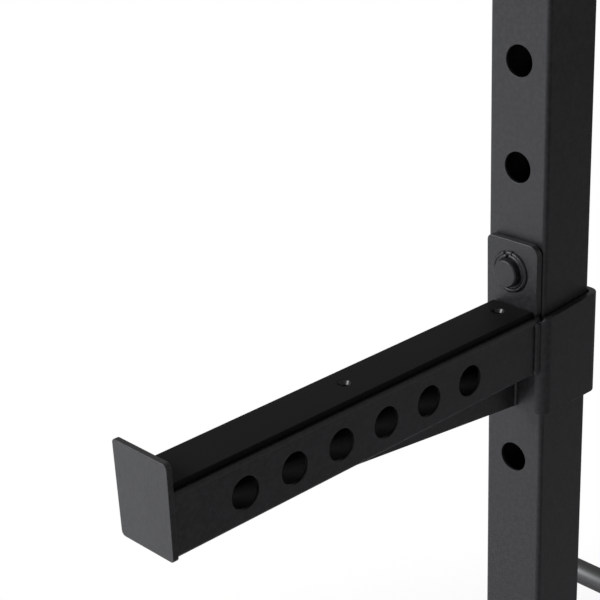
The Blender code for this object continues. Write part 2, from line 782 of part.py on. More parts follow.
def build():
    steel = material("black_powder_coat", (0.018, 0.018, 0.020), 0.45, 0.0)
    zinc = material("zinc_plated_steel", (0.62, 0.62, 0.60), 0.35, 1.0)
    bright = material("bright_steel", (0.66, 0.66, 0.67), 0.22, 1.0)
    plastic = material("black_plastic", (0.020, 0.019, 0.018), 0.55, 0.0)
    rubber = material("black_rubber", (0.022, 0.022, 0.022), 0.80, 0.0)

    for label, side in SIDES.items():
        make_upright("front_upright_" + label, side, FRONT_Y, steel, HOLE_COUNT)
        make_upright("rear_upright_" + label, side, REAR_Y, steel, 0)
        make_runner("base_runner_" + label, side, steel)
        make_boot("runner_boot_front_" + label, side, -1, rubber)
        make_boot("runner_boot_rear_" + label, side, 1, rubber)
        make_side_rail("top_side_rail_" + label, side, steel)
        for place, y in (("front", FRONT_Y), ("rear", REAR_Y)):
            make_foot("foot_bracket_" + place + "_" + label, side, y, steel)
            for which in ("upright", "runner"):
                name = which + "_bolts_" + place + "_" + label
                make_foot_bolts(name, side, y, which, zinc)
            make_cap("upright_cap_" + place + "_" + label, side, y, plastic)
        for number in range(PEG_COUNT):
            make_peg("storage_peg_" + str(number + 1) + "_" + label, side, number, bright)
        make_arm(side, label, steel, plastic)
        make_cup(side, label, steel, plastic)

    inner_face = UPRIGHT_SPREAD / 2 - TUBE / 2 - SEAT
    half = TUBE / 2
    for name, z in (("rear_top_cross_member", RAIL_Z), ("rear_middle_cross_member", MIDDLE_CROSS_Z)):
        plate = rectangle(-half, half, z - FLANGE_HEIGHT / 2, z + FLANGE_HEIGHT / 2, CORNER)
        make_cross_member(name, REAR_Y, z, inner_face, plate, steel)
    foot_face = inner_face - FOOT_PLATE - SEAT
    base_plate = rectangle(
        -BASE_FLANGE_LENGTH / 2,
        BASE_FLANGE_LENGTH / 2,
        RUNNER_Z - half,
        RUNNER_Z + half,
        CORNER,
    )
    make_cross_member("rear_base_cross_member", REAR_Y, RUNNER_Z, foot_face, base_plate, steel)
    make_pull_up_bar("pull_up_bar", steel)


for existing in list(bpy.data.objects):
    bpy.data.objects.remove(existing)
build()
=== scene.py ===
import math

import bmesh
import bpy
from mathutils import Matrix, Vector


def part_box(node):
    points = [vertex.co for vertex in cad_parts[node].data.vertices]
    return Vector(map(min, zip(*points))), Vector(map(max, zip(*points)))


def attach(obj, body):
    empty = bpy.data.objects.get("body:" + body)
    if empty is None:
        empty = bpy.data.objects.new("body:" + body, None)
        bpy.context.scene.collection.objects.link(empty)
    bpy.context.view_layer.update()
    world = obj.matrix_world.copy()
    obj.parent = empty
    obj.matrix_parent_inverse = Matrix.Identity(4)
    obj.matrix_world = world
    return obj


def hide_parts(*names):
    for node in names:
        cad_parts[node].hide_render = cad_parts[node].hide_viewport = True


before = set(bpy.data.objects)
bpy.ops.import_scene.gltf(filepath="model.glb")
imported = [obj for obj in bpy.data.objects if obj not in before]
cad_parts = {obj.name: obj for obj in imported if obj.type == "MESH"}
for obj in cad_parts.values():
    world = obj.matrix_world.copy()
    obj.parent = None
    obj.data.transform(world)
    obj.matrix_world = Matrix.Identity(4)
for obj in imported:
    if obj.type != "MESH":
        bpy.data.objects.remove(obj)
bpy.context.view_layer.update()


# THE STUDIO
# A pale floor under the rack and a white surround. A large soft lamp lights the floor ahead of
# the left arm, where the front faces mirror it, and a weak one lights the right and the back.


class Socket:
    """An output of a node: arithmetic on it adds Math nodes, an index gives a sister output."""

    def __init__(self, nodes, output):
        self.nodes = nodes
        self.output = output

    def __getitem__(self, name):
        return Socket(self.nodes, pick(self.output.node.outputs, name))

    def maths(self, operation, *others, kind="ShaderNodeMath"):
        return self.nodes.add(kind, dict(enumerate((self, *others))), operation=operation)

    def vector(self, operation, *others):
        return self.maths(operation, *others, kind="ShaderNodeVectorMath")

    def __add__(self, other):
        return self.maths("ADD", other)

    __radd__ = __add__

    def __sub__(self, other):
        return self.maths("SUBTRACT", other)

    def __rsub__(self, other):
        return self.nodes.add("ShaderNodeMath", {0: other, 1: self}, operation="SUBTRACT")

    def __mul__(self, other):
        return self.maths("MULTIPLY", other)

    __rmul__ = __mul__

    def __truediv__(self, other):
        return self.maths("DIVIDE", other)

    def __pow__(self, other):
        return self.maths("POWER", other)

    def scaled(self, factor):
        inputs = {0: self, "Scale": factor}
        return self.nodes.add("ShaderNodeVectorMath", inputs, operation="SCALE")

    def between(self, low, high):
        """0 where the value is low and 1 where it is high, clamped."""
        inputs = {0: self, 1: low, 2: high}
        return self.nodes.add("ShaderNodeMapRange", inputs, interpolation_type="SMOOTHSTEP")


def pick(sockets, name):
    if isinstance(name, int):
        return sockets[name]
    return next(s for s in sockets if name in (s.identifier, s.name))


class Nodes:
    """Adds nodes to a tree, with the values or links of their sockets and their settings."""

    def __init__(self, tree):
        self.tree = tree

    def add(self, kind, inputs=None, output=0, **settings):
        node = self.tree.nodes.new(kind)
        for name, value in settings.items():
            setattr(node, name, value)
        for name, value in (inputs or {}).items():
            socket = pick(node.inputs, name)
            for each in value if isinstance(value, list) else [value]:
                if isinstance(each, Socket):
                    self.tree.links.new(each.output, socket)
                else:
                    socket.default_value = each
        if node.outputs:
            return Socket(self, pick(node.outputs, output))

    def noise(self, place, scale, detail=2.0, roughness=0.5):
        inputs = {"Vector": place, "Scale": scale, "Detail": detail, "Roughness": roughness}
        return self.add("ShaderNodeTexNoise", inputs)

    def mix(self, share, first, second):
        inputs = {"Factor_Float": share, "A_Color": first, "B_Color": second}
        return self.add("ShaderNodeMix", inputs, "Result_Color", data_type="RGBA")

    def stretched(self, place, x, y, z):
        return self.add("ShaderNodeMapping", {"Vector": place, "Scale": (x, y, z)})


def blank_material(name):
    """A material without nodes, its builder, and the place of a point on its piece."""
    made = bpy.data.materials.new(name)
    made.use_nodes = True
    made.node_tree.nodes.clear()
    nodes = Nodes(made.node_tree)
    return made, nodes, nodes.add("ShaderNodeTexCoord", {}, "Object")


def grey(level, warm=0.0):
    return (level * (1 + warm), level, level * (1 - warm), 1.0)


def placed(name, data):
    """A new object in the scene."""
    made = bpy.data.objects.new(name, data)
    bpy.context.scene.collection.objects.link(made)
    return made


FLOOR_HALF = 14.0
FLOOR_SHADE = 0.28
floor_mesh = bpy.data.meshes.new("floor")
corners = [(x * FLOOR_HALF, y * FLOOR_HALF, 0) for x, y in ((-1, -1), (1, -1), (1, 1), (-1, 1))]
floor_mesh.from_pydata(corners, [], [(0, 1, 2, 3)])
floor_finish, nodes, place = blank_material("floor_white")
away = place.vector("LENGTH")["Value"].between(1.0, 1.7)
seen = nodes.add("ShaderNodeLightPath", {}, "Is Camera Ray")
matt = nodes.add("ShaderNodeBsdfDiffuse", {"Color": grey(0.85)})
white = nodes.add("ShaderNodeEmission", {"Color": grey(1.0), "Strength": 1.0})
# the camera sees a little of the floor's shade near the rack, and plain white beyond
plain = seen * (1 - FLOOR_SHADE + FLOOR_SHADE * away)
mixed = nodes.add("ShaderNodeMixShader", {0: plain, 1: matt, 2: white})
nodes.add("ShaderNodeOutputMaterial", {"Surface": mixed})
floor_mesh.materials.append(floor_finish)
floor = placed("floor", floor_mesh)

surround = bpy.data.worlds.new("white_surround")
surround.use_nodes = True
surround.node_tree.nodes.clear()
nodes = Nodes(surround.node_tree)
path = nodes.add("ShaderNodeLightPath")
# the surround's strength for scattered light, and its share in mirror rays
WALL_LEVEL = 0.08
GLOSS_SHARE = 0.30
shown = path["Is Camera Ray"].maths("MAXIMUM", path["Is Transmission Ray"])
shown = shown.maths("MAXIMUM", GLOSS_SHARE * path["Is Glossy Ray"])
strength = WALL_LEVEL + (1 - WALL_LEVEL) * shown
back = nodes.add("ShaderNodeBackground", {"Color": grey(1.0), "Strength": strength})
nodes.add("ShaderNodeOutputWorld", {"Surface": back})
bpy.context.scene.world = surround

CAMERA_AT = Vector((0.28171, -1.00850, 1.55618))
CAMERA_HEADING = math.radians(47.083)
CAMERA_DOWN = math.radians(23.357)
CAMERA_ROLL = math.radians(-2.302)
camera_data = bpy.data.cameras.new("camera")
camera_data.sensor_width = 36.0
camera_data.lens = 101.53
camera_data.clip_start = 0.05
camera = placed("camera", camera_data)
camera.matrix_world = (
    Matrix.Translation(CAMERA_AT)
    @ Matrix.Rotation(CAMERA_HEADING, 4, "Z")
    @ Matrix.Rotation(math.pi / 2 - CAMERA_DOWN, 4, "X")
    @ Matrix.Rotation(CAMERA_ROLL, 4, "Z")
)
bpy.context.scene.camera = camera


def soft_lamp(name, at, towards, width, height, watts):
    data = bpy.data.lights.new(name, "AREA")
    data.shape = "RECTANGLE"
    data.size, data.size_y = width, height
    data.energy = watts
    data.color = (0.955, 0.975, 1.0)
    aim = (Vector(towards) - Vector(at)).to_track_quat("-Z", "Y")
    placed(name, data).matrix_world = Matrix.Translation(at) @ aim.to_matrix().to_4x4()


soft_lamp("key", (-3.0, -3.8, 3.4), (-2.8, -3.2, 0.0), 2.8, 2.8, 370)
soft_lamp("back", (3.0, 2.4, 1.6), (0.0, 0.0, 0.9), 2.5, 2.0, 8)
bpy.context.scene.view_settings.view_transform = "Standard"


# FRONT UPRIGHTS
# Square steel tube, 60 by 60 by 3 mm, with one column of round holes through its front and rear
# faces for the arms and cups. Welded goods like these are shot-blasted and powder coated black.


def blue_black(level):
    return (level, 0.985 * level, 1.13 * level, 1.0)


def shaded(made, nodes, strength, relief, height, looks):
    """Ends a material: a bump of this strength and relief, and the shader that it goes into."""
    inputs = {"Strength": strength, "Distance": relief, "Height": height}
    looks["Normal"] = nodes.add("ShaderNodeBump", inputs)
    shader = nodes.add("ShaderNodeBsdfPrincipled", looks)
    nodes.add("ShaderNodeOutputMaterial", {"Surface": shader})
    return made


def powder_coat(name, level):
    """Fine-textured black powder coat: orange peel, faint haze, slightly rubbed corners, and shade
    painted into the bores.
    """
    made, nodes, place = blank_material(name)
    haze = nodes.noise(place, 5.0, 4.0, 0.6)
    grain = nodes.noise(place, 1500.0)
    peel = nodes.noise(place, 420.0, 3.0, 0.55)
    mottle = nodes.noise(place, 240.0, 4.0, 0.62).between(0.40, 0.62)
    rubbed = nodes.noise(place, 90.0, 5.0, 0.7)
    corner = nodes.add("ShaderNodeNewGeometry", {}, "Pointiness").between(0.515, 0.60)
    wear = corner * rubbed.between(0.42, 0.66)
    inside = nodes.add("ShaderNodeAttribute", {}, "Fac", attribute_name="inside")
    tone = (0.35 * haze + 0.35 * mottle + 0.30 * grain).between(0.30, 0.72)
    colour = nodes.mix(tone, blue_black(level * 0.86), blue_black(level * 1.14))
    colour = nodes.mix(wear * 0.15, colour, grey(level * 2.5))
    # painted shade: a near-black colour for the bore faces, standing in for the shade inside the
    # tube
    painted_bore_shade = nodes.mix(haze, grey(level * 0.2, 0.1), grey(level * 0.4, 0.2))
    rough = 0.36 + 0.08 * haze + 0.10 * mottle + 0.04 * grain - 0.06 * wear + 0.35 * inside
    looks = {
        "Base Color": nodes.mix(inside, colour, painted_bore_shade),
        "Roughness": rough,
        "Specular IOR Level": 0.35,
        "Coat Weight": (0.21 + 0.13 * mottle) * (1 - inside),
        "Coat Roughness": 0.40,
    }
    return shaded(made, nodes, 0.9, 0.00012, 0.45 * mottle + 0.35 * peel + 0.2 * grain, looks)


black_coat = powder_coat("black_powder_coat", 0.0135)


def new_tree(name, **inputs):
    """A Geometry Nodes group with named inputs of each kind, and its builder and inputs."""
    group = bpy.data.node_groups.new(name, "GeometryNodeTree")
    group.interface.new_socket("Geometry", in_out="OUTPUT", socket_type="NodeSocketGeometry")
    for kind, labels in {"Geometry": ["Geometry"], **inputs, "Material": ["Material"]}.items():
        for label in labels:
            group.interface.new_socket(label, in_out="INPUT", socket_type="NodeSocket" + kind)
    nodes = Nodes(group)
    return group, nodes, nodes.add("NodeGroupInput")


def set_along(nodes, points, shape, axis):
    """One instance of a shape on each point, its z axis along a direction."""
    turn = nodes.add("FunctionNodeAlignRotationToVector", {"Vector": axis}, axis="Z")
    inputs = {"Points": points, "Instance": shape, "Rotation": turn}
    return nodes.add("GeometryNodeInstanceOnPoints", inputs)


def tree_end(nodes, mesh, material):
    """Ends a tree: instances are made real, and the material is set."""
    real = nodes.add("GeometryNodeRealizeInstances", {"Geometry": mesh})
    done = nodes.add("GeometryNodeSetMaterial", {"Geometry": real, "Material": material})
    nodes.add("NodeGroupOutput", {"Geometry": done})


def square_tube_tree():
    """Square tube between two points, with a row of round holes cut through two of its sides."""
    group, nodes, given = new_tree(
        "square tube",
        Vector=("Start", "End", "First Hole", "Hole Step", "Hole Axis"),
        Float=("Size", "Wall", "Corner", "Hole Diameter"),
        Int=("Hole Count",),
    )
    along = given["End"].vector("SUBTRACT", given["Start"]).vector("NORMALIZE")

    def bar(size, corner, beyond):
        """A solid square bar that reaches beyond both points."""
        start = given["Start"].vector("SUBTRACT", along.scaled(beyond))
        end = given["End"].vector("ADD", along.scaled(beyond))
        line = nodes.add("GeometryNodeCurvePrimitiveLine", {"Start": start, "End": end})
        square = {"Width": size, "Height": size}
        square = nodes.add("GeometryNodeCurvePrimitiveQuadrilateral", square)
        square = {"Curve": square, "Count": 6, "Radius": corner}
        square = nodes.add("GeometryNodeFilletCurve", square, mode="POLY")
        swept = {"Curve": line, "Profile Curve": square, "Fill Caps": True}
        return nodes.add("GeometryNodeCurveToMesh", swept)

    outer = bar(given["Size"], given["Corner"], 0.0)
    inner = bar(given["Size"] - 2 * given["Wall"], given["Corner"] - given["Wall"], 0.01)
    row = {"Start Location": given["First Hole"], "Offset": given["Hole Step"]}
    row = {"Count": given["Hole Count"], **row}
    row = nodes.add("GeometryNodeMeshLine", row, mode="OFFSET")
    drill = {"Radius": given["Hole Diameter"] / 2, "Depth": given["Size"] * 1.6}
    drill = nodes.add("GeometryNodeMeshCylinder", {"Vertices": 40, **drill})
    drills = set_along(nodes, row, drill, given["Hole Axis"])
    drills = nodes.add("GeometryNodeRealizeInstances", {"Geometry": drills})
    cut = {"Mesh 1": outer, "Mesh 2": [inner, drills]}
    cut = nodes.add("GeometryNodeMeshBoolean", cut, operation="DIFFERENCE", solver="EXACT")
    smooth = nodes.add("GeometryNodeSetShadeSmooth", {"Geometry": cut, "Shade Smooth": True})
    # the faces of the bore are marked "inside", where hardly any powder reaches and the coat is
    # rough; their colour is a painted shade, darkened to near black
    place = nodes.add("GeometryNodeInputPosition").vector("SUBTRACT", given["Start"])
    run = along.scaled(place.vector("DOT_PRODUCT", along)["Value"])
    out = place.vector("SUBTRACT", run).vector("ABSOLUTE")
    x = nodes.add("ShaderNodeSeparateXYZ", {"Vector": out})
    reach = x.maths("MAXIMUM", x["Y"]).maths("MAXIMUM", x["Z"])
    within = reach.maths("LESS_THAN", given["Size"] / 2 - 0.75 * given["Wall"])
    normal = nodes.add("GeometryNodeInputNormal")
    lean = normal.vector("DOT_PRODUCT", along)["Value"].maths("ABSOLUTE")
    inside = within * lean.maths("LESS_THAN", 0.5)
    cut = {"Geometry": smooth, "Name": "inside", "Value": inside}
    cut = nodes.add("GeometryNodeStoreNamedAttribute", cut, data_type="FLOAT", domain="FACE")
    tree_end(nodes, cut, given["Material"])
    return group


def grown(group, values, path=None):
    """An object whose mesh a tree makes. Inputs are set by identifier before it is evaluated."""
    mesh = bpy.data.meshes.new(group.name)
    if path:
        mesh.from_pydata(path, [(i, i + 1) for i in range(len(path) - 1)], [])
    made = placed(group.name, mesh)
    modifier = made.modifiers.new(group.name, "NODES")
    modifier.node_group = group
    for item in group.interface.items_tree:
        if item.in_out == "INPUT" and item.name in values:
            modifier[item.identifier] = values[item.name]
    return made


def eased(made):
    """Adds what the coating shows: edges rounded by a fraction of a millimetre."""
    bevel = made.modifiers.new("eased edges", "BEVEL")
    bevel.width = EASE
    bevel.segments = 2
    bevel.limit_method = "ANGLE"
    bevel.angle_limit = math.radians(40)
    bevel.face_strength_mode = "FSTR_AFFECTED"
    normals = made.modifiers.new("flat faces", "WEIGHTED_NORMAL")
    normals.use_face_influence = True
    normals.keep_sharp = True
    return made


def plain_mesh(made):
    """The evaluated mesh of a helper object, which is then removed."""
    bpy.context.view_layer.update()
    graph = bpy.context.evaluated_depsgraph_get()
    mesh = bpy.data.meshes.new_from_object(
        made.evaluated_get(graph), preserve_all_data_layers=True, depsgraph=graph
    )
    before = made.data
    bpy.data.objects.remove(made)
    bpy.data.meshes.remove(before)
    return mesh


def keep(name, mesh, *stands_for, body="frame", slot="black_powder_coat"):
    """A finished piece: it rides on its body and stands for its CAD nodes."""
    mesh.name = name
    piece = placed(name, mesh)
    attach(piece, body)
    if stands_for:
        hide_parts(*stands_for)


def middle(low, high):
    """The middle of a box."""
    return [(a + b) / 2 for a, b in zip(low, high)]


TUBE = 0.060
WALL = 0.003
CORNER = 0.0040
HOLE_DIAMETER = 0.026
HOLE_PITCH = 0.088
LOWEST_HOLE_Z = 0.844
HOLE_COUNT = 14
EASE = 0.0006
SIDES = {"left": -1, "right": 1}
POSTS = [(end, label) for label in SIDES for end in ("front", "rear")]
tube_tree = square_tube_tree()


def tube_mesh(start, end, size=TUBE, holes=None):
    values = {
        "Start": start,
        "End": end,
        "Size": size,
        "Wall": WALL,
        "Corner": CORNER,
        "Hole Axis": (0.0, 1.0, 0.0),
        "Hole Count": 0,
        "Hole Diameter": HOLE_DIAMETER,
        "Material": black_coat,
    }
    values.update(holes or {})
    return plain_mesh(eased(grown(tube_tree, values)))


for label in SIDES:
    low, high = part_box("front_upright_" + label)
    x, y, _ = middle(low, high)
    holes = {
        "First Hole": (x, y, LOWEST_HOLE_Z),
        "Hole Step": (0.0, 0.0, HOLE_PITCH),
        "Hole Count": HOLE_COUNT,
    }
    mesh = tube_mesh((x, y, low.z), (x, y, high.z), TUBE, holes)
    keep("upright_front_" + label, mesh, "front_upright_" + label)


# REAR UPRIGHTS
# The same square steel tube without holes, coated like the front ones. They carry the storage
# pegs and the cross members.

for label in SIDES:
    low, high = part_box("rear_upright_" + label)
    x, y, _ = middle(low, high)
    mesh = tube_mesh((x, y, low.z), (x, y, high.z))
    keep("upright_rear_" + label, mesh, "rear_upright_" + label)


# UPRIGHT CAPS
# Injection moulded inserts that close the tops of the uprights. Each has a thin domed rim on the
# tube's edge and a plug that grips the inside.


def rounded(corners, steps=6):
    """An outline, counterclockwise, from (x, y, radius) corners: each radius becomes an arc."""
    outline = []
    for i, (x, y, radius) in enumerate(corners):
        here = Vector((x, y))
        if radius == 0:
            outline.append(here)
            continue
        behind = (Vector(corners[i - 1][:2]) - here).normalized()
        ahead = (Vector(corners[(i + 1) % len(corners)][:2]) - here).normalized()
        half = behind.angle(ahead) / 2
        centre = here + (behind + ahead).normalized() * radius / math.sin(half)
        start = here + behind * radius / math.tan(half) - centre
        end = here + ahead * radius / math.tan(half) - centre
        turn = math.atan2(start.cross(end), start.dot(end))
        for step in range(steps + 1):
            outline.append(centre + Matrix.Rotation(turn * step / steps, 2) @ start)
    return outline


def box_outline(x0, x1, y0, y1, radius, steps=6):
    corners = [(x0, y0, radius), (x1, y0, radius), (x1, y1, radius), (x0, y1, radius)]
    return rounded(corners, steps)


def ring(x, y, diameter, sides=40):
    """A hole's outline, clockwise."""
    turn = -math.tau / sides
    return [
        Vector((x, y)) + diameter / 2 * Vector((math.cos(turn * i), math.sin(turn * i)))
        for i in range(sides)
    ]


def skin(bm, rings):
    """Faces between each ring of points and the next."""
    for near, far in zip(rings, rings[1:]):
        for i in range(len(near)):
            j = (i + 1) % len(near)
            bm.faces.new((near[i], near[j], far[j], far[i]))


def slab(bm, outline, holes, thickness, edge, steps=2):
    """A plate from z 0 up to its thickness, cut to an outline with holes, its edges rounded."""
    rims = ([], [])
    profile = []
    for step in range(steps + 1):
        angle = math.pi / 2 * step / steps
        profile.append((edge * (1 - math.sin(angle)), edge * (1 - math.cos(angle))))
    profile += [(inset, thickness - z) for inset, z in reversed(profile)]
    for loop in (outline, *holes):
        count = len(loop)
        inward = []
        for i in range(count):
            before = (loop[i] - loop[i - 1]).normalized()
            after = (loop[(i + 1) % count] - loop[i]).normalized()
            mean = (before + after).normalized()
            inward.append(Vector((-mean.y, mean.x)) / max(0.3, mean.dot(after)))
        rings = [
            [bm.verts.new((*(loop[i] + inward[i] * inset), z)) for i in range(count)]
            for inset, z in profile
        ]
        skin(bm, rings)
        rims[0].append(rings[0])
        rims[1].append(rings[-1])
    for loops, way in zip(rims, (-1, 1)):
        if len(loops) == 1:
            bm.faces.new(loops[0] if way == 1 else reversed(loops[0]))
            continue
        edges = [bm.edges.get((loop[i - 1], loop[i])) for loop in loops for i in range(len(loop))]
        filled = bmesh.ops.triangle_fill(bm, edges=edges, normal=(0, 0, way))
        for face in filled["geom"]:
            if isinstance(face, bmesh.types.BMFace) and face.normal.z * way < 0:
                face.normal_flip()


# Where an outline's first axis, second axis and thickness point in space
FACING = {
    "up": Matrix(((1, 0, 0), (0, 1, 0), (0, 0, 1))),
    "right": Matrix(((0, 0, 1), (1, 0, 0), (0, 1, 0))),
    "front": Matrix(((1, 0, 0), (0, 0, -1), (0, 1, 0))),
}


def smooth_mesh(bm):
    mesh = bpy.data.meshes.new("smooth")
    bm.to_mesh(mesh)
    bm.free()
    mesh.shade_smooth()
    return mesh


def shaped(bm, facing, at, side=-1, finish=None):
    """The mesh of a form drawn flat: turned, set in place, and mirrored for side 1.

    Its shading leaves broad faces flat and turns only over the rounded edges."""
    bm.transform(Matrix.Translation(at) @ FACING[facing].to_4x4())
    if side == 1:
        bm.transform(Matrix.Scale(-1, 4, (1, 0, 0)))
        bmesh.ops.reverse_faces(bm, faces=bm.faces)
    mesh = smooth_mesh(bm)
    mesh.materials.append(finish or black_coat)
    made = placed("shaped", mesh)
    made.modifiers.new("flat faces", "WEIGHTED_NORMAL").weight = 80
    return plain_mesh(made)


def plate_mesh(outline, holes, thickness, edge, facing, at, side=-1, finish=None, steps=2):
    bm = bmesh.new()
    slab(bm, outline, holes, thickness, edge, steps)
    return shaped(bm, facing, at, side, finish)


def moulded_plastic(name, level, grain_scale, roughness, relief):
    """Black plastic or rubber with a fine moulded grain."""
    made, nodes, place = blank_material(name)
    cloud = nodes.noise(place, 9.0, 3.0)
    grain = nodes.noise(place, grain_scale, 2.0, 0.6)
    tone = 0.5 * cloud + 0.5 * grain
    looks = {
        "Base Color": nodes.mix(tone, grey(level * 0.75, 0.02), grey(level * 1.3, 0.02)),
        "Roughness": roughness + 0.12 * cloud - 0.06 * grain,
        "Specular IOR Level": 0.4,
    }
    return shaded(made, nodes, 0.5, relief, grain, looks)


CAP_GAP = 0.0003
CAP_DOME = 0.0022
PLUG_CORNER = 0.002
cap_plastic = moulded_plastic("black_cap_plastic", 0.022, 900.0, 0.45, 0.00012)
for end, label in POSTS:
    node = "upright_cap_" + end + "_" + label
    low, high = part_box(node)
    x, y, _ = middle(low, high)
    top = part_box(end + "_upright_" + label)[1].z
    half = TUBE / 2
    rim = box_outline(-half, half, -half, half, CORNER)
    fit = half - WALL - CAP_GAP
    plug = box_outline(-fit, fit, -fit, fit, PLUG_CORNER)
    bm = bmesh.new()
    slab(bm, rim, [], high.z - top - CAP_GAP, CAP_DOME, 4)
    bmesh.ops.translate(bm, verts=bm.verts, vec=(0, 0, top + CAP_GAP - low.z))
    slab(bm, plug, [], top + 0.001 - low.z, EASE)
    mesh = shaped(bm, "up", (x, y, low.z), -1, cap_plastic)
    keep("cap_" + end + "_" + label, mesh, node, slot="black_plastic")


# BASE RUNNERS
# The tubes that lie on the floor under each pair of uprights, held up a little by the boots on
# their ends. The bolts of the foot brackets pass through them.

for label in SIDES:
    node = "base_runner_" + label
    low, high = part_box(node)
    x, _, z = middle(low, high)
    mesh = tube_mesh((x, low.y, z), (x, high.y, z))
    keep("runner_" + label, mesh, node)


# RUNNER BOOTS
# Moulded rubber boots pushed over the runner ends. The sole is thicker than the walls and keeps
# the steel off the floor.

BOOT_CORNER = 0.009
BOOT_SOLE = 0.0053
BOOT_END = 0.0043
BOOT_ROUND = 0.002
RING_START = 0.002
RING_ROUND = 0.0012
boot_rubber = moulded_plastic("black_boot_rubber", 0.020, 1400.0, 0.62, 0.00015)
for end, label in POSTS:
    node = "runner_boot_" + end + "_" + label
    low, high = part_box(node)
    x, _, _ = middle(low, high)
    wide, tall, long = high.x - low.x, high.z - low.z, high.y - low.y
    outline = box_outline(-wide / 2, wide / 2, 0, tall, BOOT_CORNER)
    inner = box_outline(-TUBE / 2, TUBE / 2, BOOT_SOLE, BOOT_SOLE + TUBE, CORNER)
    # a closed end, and a wall ring from it towards the upright
    bm = bmesh.new()
    slab(bm, outline, [inner[::-1]], long - RING_START, RING_ROUND)
    bmesh.ops.translate(bm, verts=bm.verts, vec=(0, 0, RING_START))
    slab(bm, outline, [], BOOT_END, BOOT_ROUND, 4)
    at = (x, high.y, 0)
    if end == "front":
        # a form drawn facing front grows towards -Y, and here it has to grow towards +Y
        for vert in bm.verts:
            vert.co.z *= -1
        bmesh.ops.reverse_faces(bm, faces=bm.faces)
        at = (x, low.y, 0)
    mesh = shaped(bm, "front", at, -1, boot_rubber)
    keep("boot_" + end + "_" + label, mesh, node, slot="black_rubber")


# FOOT BRACKETS
# Two laser cut side plates joined by a floor plate, bolted to the runner and to the upright that
# stands on the floor plate.

FOOT_PLATE = 0.005
FOOT_HALF = 0.110
FOOT_NECK = 0.035
FOOT_LOW = 0.0083
FOOT_KNEE = 0.0523
FOOT_TOP = 0.2253
FOOT_CORNER = 0.010
FOOT_FLOOR_X = 0.031
FOOT_FLOOR_Y = 0.030
FOOT_FLOOR_Z = 0.0656
BOLT_HOLE = 0.014
RUNNER_Z = 0.0353
RUNNER_BOLTS = 0.078
UPRIGHT_BOLTS = (0.1153, 0.1853)
foot_corners = [(-FOOT_HALF, FOOT_LOW), (FOOT_HALF, FOOT_LOW), (FOOT_HALF, FOOT_KNEE)]
foot_corners += [(FOOT_NECK, FOOT_TOP), (-FOOT_NECK, FOOT_TOP), (-FOOT_HALF, FOOT_KNEE)]
foot_outline = rounded([(y, z, FOOT_CORNER) for y, z in foot_corners])
foot_holes = [ring(0, z, BOLT_HOLE, 24) for z in UPRIGHT_BOLTS]
foot_holes += [ring(s * RUNNER_BOLTS, RUNNER_Z, BOLT_HOLE, 24) for s in (-1, 1)]
foot_floor = box_outline(-FOOT_FLOOR_X, FOOT_FLOOR_X, -FOOT_FLOOR_Y, FOOT_FLOOR_Y, 0.001)
for end, label in POSTS:
    node = "foot_bracket_" + end + "_" + label
    low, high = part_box(node)
    x, y, _ = middle(low, high)
    bm = bmesh.new()
    slab(bm, foot_outline, foot_holes, FOOT_PLATE, EASE)
    bmesh.ops.translate(bm, verts=bm.verts, vec=(0, 0, high.x - x - FOOT_PLATE))
    slab(bm, foot_outline, foot_holes, FOOT_PLATE, EASE)
    second = [vert for vert in bm.verts if vert.co.z < 2 * FOOT_PLATE]
    bmesh.ops.translate(bm, verts=second, vec=(0, 0, low.x - x))
    mesh = shaped(bm, "right", (x, y, 0))
    keep("foot_sides_" + end + "_" + label, mesh, node)
    mesh = plate_mesh(foot_floor, [], FOOT_PLATE, EASE / 2, "up", (x, y, FOOT_FLOOR_Z))
    keep("foot_floor_" + end + "_" + label, mesh)


# FOOT BOLTS
# Zinc plated M12 hexagon bolts through the foot brackets: a strap washer under each pair of
# heads on the outside, and a nut on each thread on the inside.


def plated_steel(name, level, roughness, tint):
    """Plated steel: soft metal with fine clouding."""
    made, nodes, place = blank_material(name)
    cloud = nodes.noise(place, 60.0, 4.0, 0.6)
    grain = nodes.noise(place, 1800.0)
    looks = {
        "Base Color": nodes.mix(cloud, grey(level * 0.82, tint), grey(level * 1.1, tint)),
        "Metallic": 1.0,
        "Roughness": roughness + 0.14 * cloud,
    }
    return shaded(made, nodes, 0.3, 0.00005, grain, looks)


zinc = plated_steel("zinc_plate", 0.55, 0.30, 0.01)
BOLT_FLATS = 0.019
BOLT_HEAD = 0.008
BOLT_NUT = 0.010
BOLT_TAIL = 0.004
STRAP = 0.003


def turned(profile, steps=64, flats=()):
    """A solid of revolution about z from (radius, z) rings; flats marks six-sided rings."""
    bm = bmesh.new()
    rings = []
    for index, (radius, z) in enumerate(profile):
        circle = []
        for i in range(steps):
            turn = math.tau * i / steps
            reach = radius
            if index in flats:
                sixth = (turn + math.pi / 6) % (math.pi / 3) - math.pi / 6
                reach = radius / math.cos(sixth)
            circle.append(bm.verts.new((reach * math.cos(turn), reach * math.sin(turn), z)))
        rings.append(circle)
    bm.faces.new(reversed(rings[0]))
    bm.faces.new(rings[-1])
    skin(bm, rings)
    return bm


def hexagon_part(name, profile, flats):
    """A prototype bolt head, nut or screw, standing on z 0, shaded by angle."""
    mesh = smooth_mesh(turned(profile, 36, flats))
    mesh.set_sharp_from_angle(angle=math.radians(28))
    return placed(name, mesh)


flat = BOLT_FLATS / 2
head_shape = hexagon_part(
    "bolt head",
    [(flat * 0.97, 0.0), (flat * 0.97, 0.0006), (flat, 0.0007), (flat, BOLT_HEAD - 0.0014)]
    + [(flat * 1.02, BOLT_HEAD - 0.0006), (flat * 0.93, BOLT_HEAD)],
    (2, 3),
)
nut_shape = hexagon_part(
    "nut",
    [(flat * 0.93, 0.0), (flat * 1.03, 0.0008), (flat, 0.0016), (flat, BOLT_NUT - 0.0016)]
    + [(flat * 1.03, BOLT_NUT - 0.0008), (flat * 0.93, BOLT_NUT), (0.0058, BOLT_NUT)]
    + [(0.0060, BOLT_NUT + BOLT_TAIL - 0.001), (0.0050, BOLT_NUT + BOLT_TAIL)],
    (2, 3),
)


